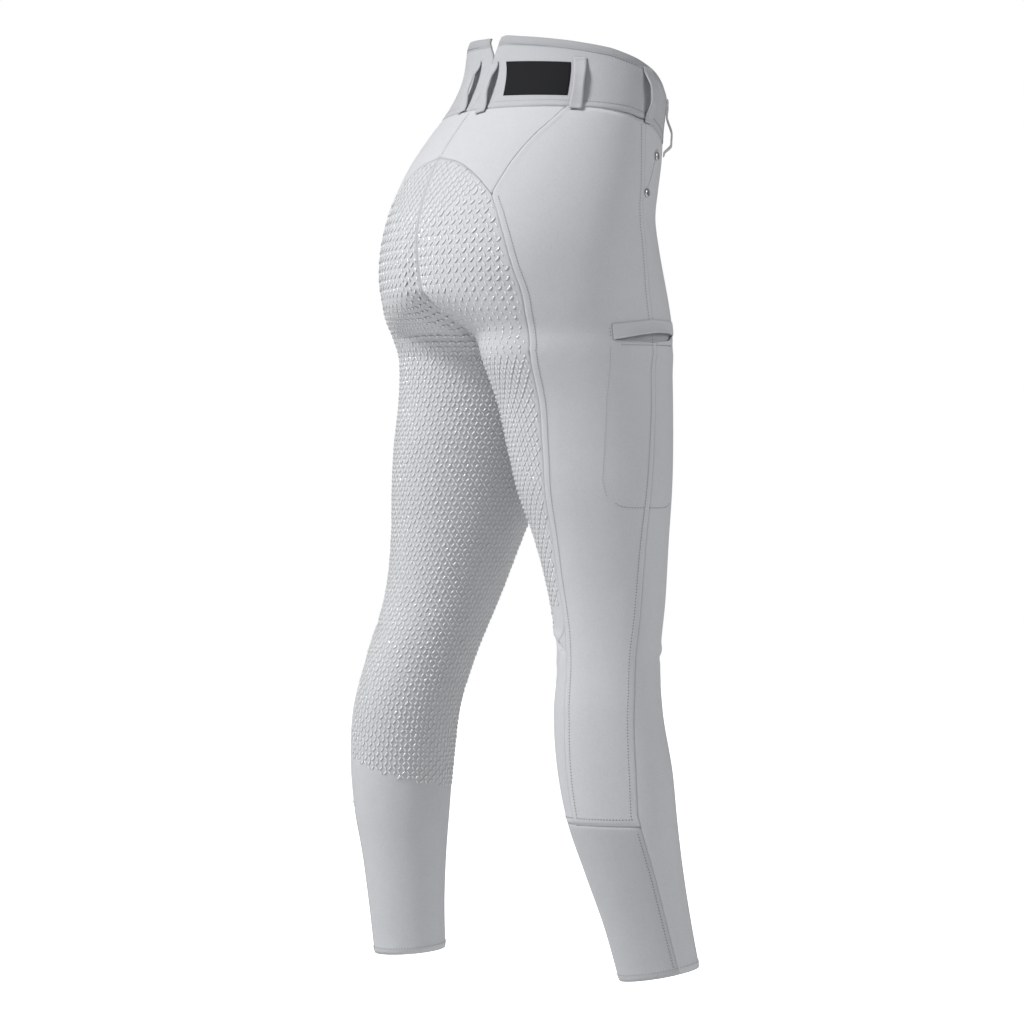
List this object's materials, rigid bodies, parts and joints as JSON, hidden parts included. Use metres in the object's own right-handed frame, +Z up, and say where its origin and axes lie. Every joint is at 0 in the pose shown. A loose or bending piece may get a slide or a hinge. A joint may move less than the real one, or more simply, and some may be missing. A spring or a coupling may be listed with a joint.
{
  "type": "riding breeches",
  "caption": "Full-seat riding breeches with a grip seat, wide waistband, belt loops, thigh pocket and elastic calf inserts, in worn shape.",
  "frame": {"origin": "middle of the waist, where the wearer holds the garment up", "axes": "+Z up, -Y the wearer's front, +X the wearer's left; the legs stand apart and the left one a little behind"},
  "size_m": [0.3753, 0.2717, 0.9476],
  "materials": {
    "cloth": "matt stretch knit with a soft sheen",
    "grip": "matt stretch knit with glossy clear raised silicone strokes",
    "elastic": "thin matt elastic knit",
    "patch": "matt smooth",
    "metal": "polished"
  },
  "bodies": {
    "root": {"belt_loop_back_a": "cloth", "belt_loop_back_b": "cloth", "belt_loop_front_left": "cloth", "belt_loop_front_right": "cloth", "belt_loop_hip_left": "cloth", "belt_loop_hip_right": "cloth", "belt_loop_side_left": "cloth", "belt_loop_side_right": "cloth", "calf_back_left": "cloth", "calf_back_right": "cloth", "calf_insert_left": "elastic", "calf_insert_right": "elastic", "fly_facing": "cloth", "front_left": "cloth", "front_pocket_facing_left": "cloth", "front_pocket_facing_right": "cloth", "front_right": "cloth", "label_patch": "patch", "rivet_pocket_foot_left": "metal", "rivet_pocket_foot_right": "metal", "rivet_pocket_top_left": "metal", "rivet_pocket_top_right": "metal", "seat_inner_leg_left": "grip", "seat_inner_leg_right": "grip", "side_left": "cloth", "side_right": "cloth", "thigh_pocket_bag": "cloth", "thigh_pocket_welt": "cloth", "waist_snap": "metal", "waistband_left": "cloth", "waistband_right": "cloth", "yoke_left": "cloth", "yoke_right": "cloth"}
  },
  "joints": []
}
